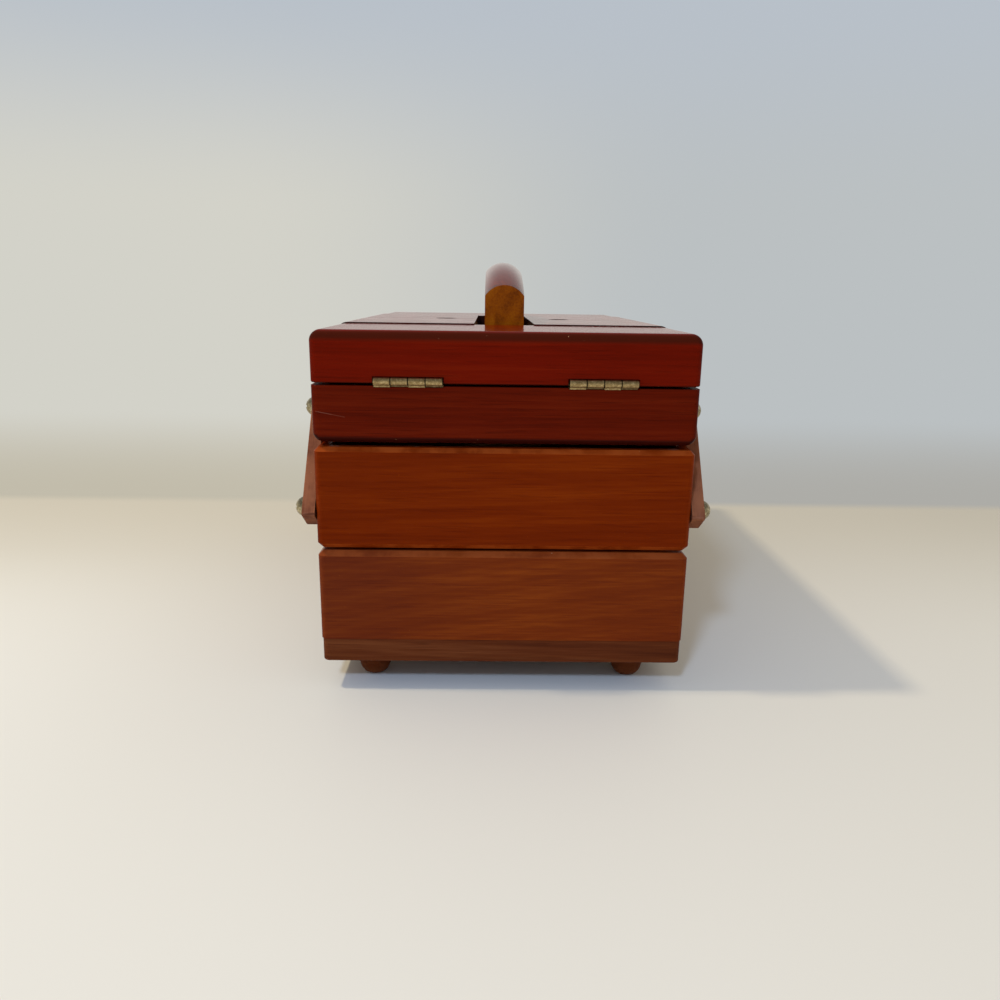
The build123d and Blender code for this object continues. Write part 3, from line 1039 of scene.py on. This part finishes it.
def makeLeafScrewTree(settings):
    tree, wires = startTree("countersunkScrews", {
        "Radius": "Float",
        "Depth": "Float",
        "Material": "Material",
    })
    points, radius, depth = wires["Geometry"], wires["Radius"], wires["Depth"]
    disc = points.node("GeometryNodeMeshCylinder", None, {
        "Vertices": settings["sides"],
        "Radius": radius,
        "Depth": depth,
    })
    bar = points.node("GeometryNodeMeshCube", None, {
        "Size": points.vector(radius * 3, settings["slotWidth"] * mm, settings["slotDepth"] * 2 * mm),
    })
    cut = {"operation": "DIFFERENCE", "solver": "EXACT"}
    for side in (-0.5, 0.5):
        moved = bar.node("GeometryNodeTransform", None, {
            "Geometry": bar, "Translation": points.vector(0.0, 0.0, depth * side),
        })
        disc = points.node("GeometryNodeMeshBoolean", cut, {0: disc, 1: moved})
    spin = points.node("FunctionNodeRandomValue", {"data_type": "FLOAT"}, {"Seed": settings["seed"]}, 1)
    spin.socket.node.inputs[2].default_value = 0.0
    spin.socket.node.inputs[3].default_value = math.pi
    placed = points.node("GeometryNodeInstanceOnPoints", None, {
        "Points": points, "Instance": disc, "Rotation": points.vector(0.0, 0.0, spin),
    })
    finishTree(tree, placed, wires["Material"])
    return tree


def makeLeafScrews(settings):
    tree = makeLeafScrewTree(settings)
    values = {
        "Radius": settings["radius"] * mm,
        "Depth": settings["depth"] * mm,
        "Material": metals["screwBrass"],
    }
    drop = (settings["depth"] / 2 - settings["proud"]) * mm
    for end, side in ends.items():
        trayLow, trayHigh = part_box(f"{end}_hinge_tray_leaves")
        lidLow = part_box(f"{end}_hinge_lid_leaves")[0]
        inner = trayLow.y if side > 0 else trayHigh.y
        y = inner + side * settings["leafMiddle"] * mm
        heights = {
            "top_tray": trayLow.z + settings["trayLeafTop"] * mm - drop,
            "lid": lidLow.z + settings["lidLeafLow"] * mm + drop,
        }
        for tier, z in heights.items():
            spots = [
                Vector(((hinge * settings["hingeX"] + along * settings["spread"]) * mm, y, z))
                for hinge in (-1, 1) for along in (-1, 1)
            ]
            name = f"{end}_{tier}_leaf_screws"
            piece = grow(name, pointMesh(name, spots), tree, values, metals["screwBrass"])
            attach(piece, f"{end}_{tier}")


makeLeafScrews(leafScrewSettings)
print("hinge screws made")


# Feet
footSettings = {
    "sides": 48,
    "curve": 12,  # points along the bulge
    "neck": 0.74,  # radii as shares of the widest
    "flat": 0.45,
    "belly": 0.56,  # heights as shares: the widest point, and from there up to the neck
    "neckRise": 0.34,
    "grooveFoot": 0.92,
    "grooveTop": 0.94,
    "groove": 0.5,
}


def makeFoot(radius, height, settings):
    # Turned bun foot: rounded belly, a small groove and a neck under the board
    flat, neck, belly = settings["flat"], settings["neck"], settings["belly"]
    profile = [(0, 0), (flat * radius, 0)]
    for step in range(1, settings["curve"]):
        angle = math.pi / 2 * step / settings["curve"]
        out = flat + (1 - flat) * math.sin(angle)
        profile.append((out * radius, (1 - math.cos(angle)) * belly * height))
    for step in range(settings["curve"] + 1):
        angle = math.pi / 2 * step / settings["curve"]
        out = neck + (1 - neck) * math.cos(angle)
        profile.append((out * radius, (belly + settings["neckRise"] * math.sin(angle)) * height))
    profile.append((neck * radius - settings["groove"] * mm, height * settings["grooveFoot"]))
    profile.append((neck * radius, height * settings["grooveTop"]))
    profile.append((neck * radius, height))
    profile.append((0, height))
    build = bmesh.new()
    points = [build.verts.new((out, 0, up)) for out, up in profile]
    edges = [build.edges.new(pair) for pair in zip(points, points[1:])]
    full = {"cent": (0, 0, 0), "axis": (0, 0, 1), "angle": 2 * math.pi, "steps": settings["sides"]}
    bmesh.ops.spin(build, geom=points + edges, **full)
    bmesh.ops.remove_doubles(build, verts=build.verts, dist=0.00001)
    bmesh.ops.recalc_face_normals(build, faces=build.faces)
    mesh = bpy.data.meshes.new("foot")
    build.to_mesh(mesh)
    build.free()
    return mesh


def makeFeetTree():
    tree, wires = startTree("feetAtCorners", {
        "Width": "Float",
        "Length": "Float",
        "Material": "Material",
    })
    foot = wires["Geometry"]
    grid = foot.node("GeometryNodeMeshGrid", None, {
        "Size X": wires["Width"],
        "Size Y": wires["Length"],
        "Vertices X": 2,
        "Vertices Y": 2,
    })
    placed = grid.node("GeometryNodeInstanceOnPoints", None, {"Points": grid, "Instance": foot})
    finishTree(tree, placed, wires["Material"])
    return tree


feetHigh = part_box("feet")[1]
mountPlace = next(mount["pos_m"] for mount in record["mounts"] if mount["name"] == "feet_rest")
footX, footY = abs(mountPlace[0]), abs(mountPlace[1])
feetValues = {"Width": 2 * footX, "Length": 2 * footY, "Material": woods["plinthWood"]}
footMesh = makeFoot(feetHigh.x - footX, feetHigh.z, footSettings)
feet = grow("turned_feet", footMesh, makeFeetTree(), feetValues, woods["plinthWood"])
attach(feet, "base")
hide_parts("feet")
print("feet made")


# Stage, light and world
stageSettings = {
    "size": 12.0,
    "floor": (0.72, 0.68, 0.58, 1.0),
    # Painted shade: the floor darker and yellower towards the wall
    "floorFarShade": (0.60, 0.55, 0.44, 1.0),
    # Painted light: the floor paler at the near left
    "floorLeftLit": (0.77, 0.74, 0.65, 1.0),
    "farStart": -0.15,
    "leftSide": (0.15, 0.45),
    "leftNear": (-0.1, 0.2),
    "roughness": 0.55,
    "level": 0.2,
    # The wall stands from back onwards and shows only to rays that run towards it, so that the
    # floor stays a floor from behind. Far out, the floor fades into it all round.
    "back": (0.238, 0.272),
    "fade": (0.9, 1.8),
    "towards": (0.30, 0.50),
    # The wall glows, with painted shade at its foot, towards its right and towards its top
    "wallFootShade": colour(194, 188, 171),
    "wallFootShadeRight": colour(173, 172, 167),
    "wallLow": colour(211, 210, 201),
    "wallRight": colour(187, 192, 194),
    "wallHigh": colour(184, 192, 201),
    "wallTurn": (-0.3, 0.25),  # from its left colour to its right one, as a slope from the camera
    "wallNear": 0.6,
    "footRise": (0.27, 0.95),
    "footRing": 0.85,
    "wallRise": (0.08, 0.32),
    "skyLow": (0.74, 0.72, 0.68, 1.0),
    "skyHigh": (0.30, 0.31, 0.33, 1.0),
    "skyRise": (0.05, 0.55),
    "fillFront": (0.47, 0.51, 0.62, 1.0),
    "fillBack": (0.78, 0.71, 0.56, 1.0),
    "fillTurn": (-0.3, 0.3),
}

lampSettings = {
    "key": {"place": (-0.95, -0.19, 1.70), "size": 0.12, "power": 15.0, "tint": (1.0, 0.88, 0.66)},
    "front": {"place": (-0.45, -1.45, 1.25), "size": 0.20, "power": 16.0, "tint": (0.44, 0.62, 1.0)},
}
lampAim = Vector((0, 0, 0.1))


def makeFloor(settings):
    mesh = bpy.data.meshes.new("floor")
    half = settings["size"] / 2
    corners = [(-half, -half, 0), (half, -half, 0), (half, half, 0), (-half, half, 0)]
    mesh.from_pydata(corners, [], [(0, 1, 2, 3)])
    floor = bpy.data.objects.new("floor", mesh)
    bpy.context.scene.collection.objects.link(floor)
    material, wire = startMaterial("floorPaint")
    coordinates = wire.tree.nodes.new("ShaderNodeTexCoord")
    x, y = Wire(wire.tree, coordinates.outputs["Object"]).parts()[:2]
    geometry = wire.tree.nodes.new("ShaderNodeNewGeometry")
    towards = 0 - Wire(wire.tree, geometry.outputs["Incoming"]).parts()[1]
    distance = (x * x + y * y).root()
    behind = y.between(*settings["back"]) * towards.between(*settings["towards"])
    wallShare = behind.larger(distance.between(*settings["fade"]))
    # Painted shade: the floor darker towards the wall
    far = y.between(settings["farStart"], settings["back"][0])
    tone = wire.blend(settings["floor"], settings["floorFarShade"], far)
    # Painted light at the near left of the floor
    left = (0 - x).between(*settings["leftSide"]) * (0 - y).between(*settings["leftNear"])
    tone = wire.blend(tone, settings["floorLeftLit"], left)
    paint = wire.node("ShaderNodeBsdfPrincipled", None, {
        "Base Color": tone,
        "Roughness": settings["roughness"],
        "Specular IOR Level": settings["level"],
    })
    # The glowing wall, with painted shade towards the right and at its foot
    slope = x / (y - cameraSettings["place"][1]).larger(settings["wallNear"])
    turn = slope.between(*settings["wallTurn"])
    wall = wire.blend(settings["wallLow"], settings["wallRight"], turn)
    foot = wire.blend(settings["wallFootShade"], settings["wallFootShadeRight"], turn)
    rise = y.larger(distance - settings["footRing"]).between(*settings["footRise"])
    wall = wire.blend(foot, wall, rise)
    glow = wire.node("ShaderNodeEmission", None, {"Color": wall, "Strength": 1.0})
    mixed = wire.node("ShaderNodeMixShader", None, {0: wallShare, 1: paint, 2: glow})
    wire.node("ShaderNodeOutputMaterial", None, {"Surface": mixed})
    mesh.materials.append(material)


def makeWorld(settings):
    world = bpy.data.worlds.new("studio")
    bpy.context.scene.world = world
    world.use_nodes = True
    wire = Wire(world.node_tree)
    wire.tree.nodes.clear()
    coordinates = wire.tree.nodes.new("ShaderNodeTexCoord")
    side, depth, height = Wire(wire.tree, coordinates.outputs["Generated"]).parts()
    sky = wire.blend(settings["skyLow"], settings["skyHigh"], height.between(*settings["skyRise"]))
    path = wire.tree.nodes.new("ShaderNodeLightPath")
    cameraRay = Wire(wire.tree, path.outputs["Is Camera Ray"])
    glossyRay = Wire(wire.tree, path.outputs["Is Glossy Ray"])
    # The glowing wall, with painted shade towards the right and the top
    wall = wire.blend(settings["wallLow"], settings["wallRight"], side.between(*settings["wallTurn"]))
    wall = wire.blend(wall, settings["wallHigh"], height.between(*settings["wallRise"]))
    fill = wire.blend(settings["fillFront"], settings["fillBack"], depth.between(*settings["fillTurn"]))
    seen = wire.blend(fill, sky, glossyRay)
    seen = wire.blend(seen, wall, cameraRay)
    back = wire.node("ShaderNodeBackground", None, {"Color": seen, "Strength": 1.0})
    wire.node("ShaderNodeOutputWorld", None, {"Surface": back})


def makeLamp(name, settings):
    data = bpy.data.lights.new(name, "AREA")
    data.shape = "DISK"
    data.size = settings["size"]
    data.energy = settings["power"]
    data.color = settings["tint"]
    lamp = bpy.data.objects.new(name, data)
    bpy.context.scene.collection.objects.link(lamp)
    lamp.location = settings["place"]
    lamp.rotation_mode = "QUATERNION"
    lamp.rotation_quaternion = (lampAim - lamp.location).to_track_quat("-Z", "Y")
    lamp.visible_glossy = False
    lamp.visible_camera = False


makeFloor(stageSettings)
makeWorld(stageSettings)
for name, settings in lampSettings.items():
    makeLamp(name, settings)
bpy.context.scene.view_settings.view_transform = "Standard"
print("stage set")
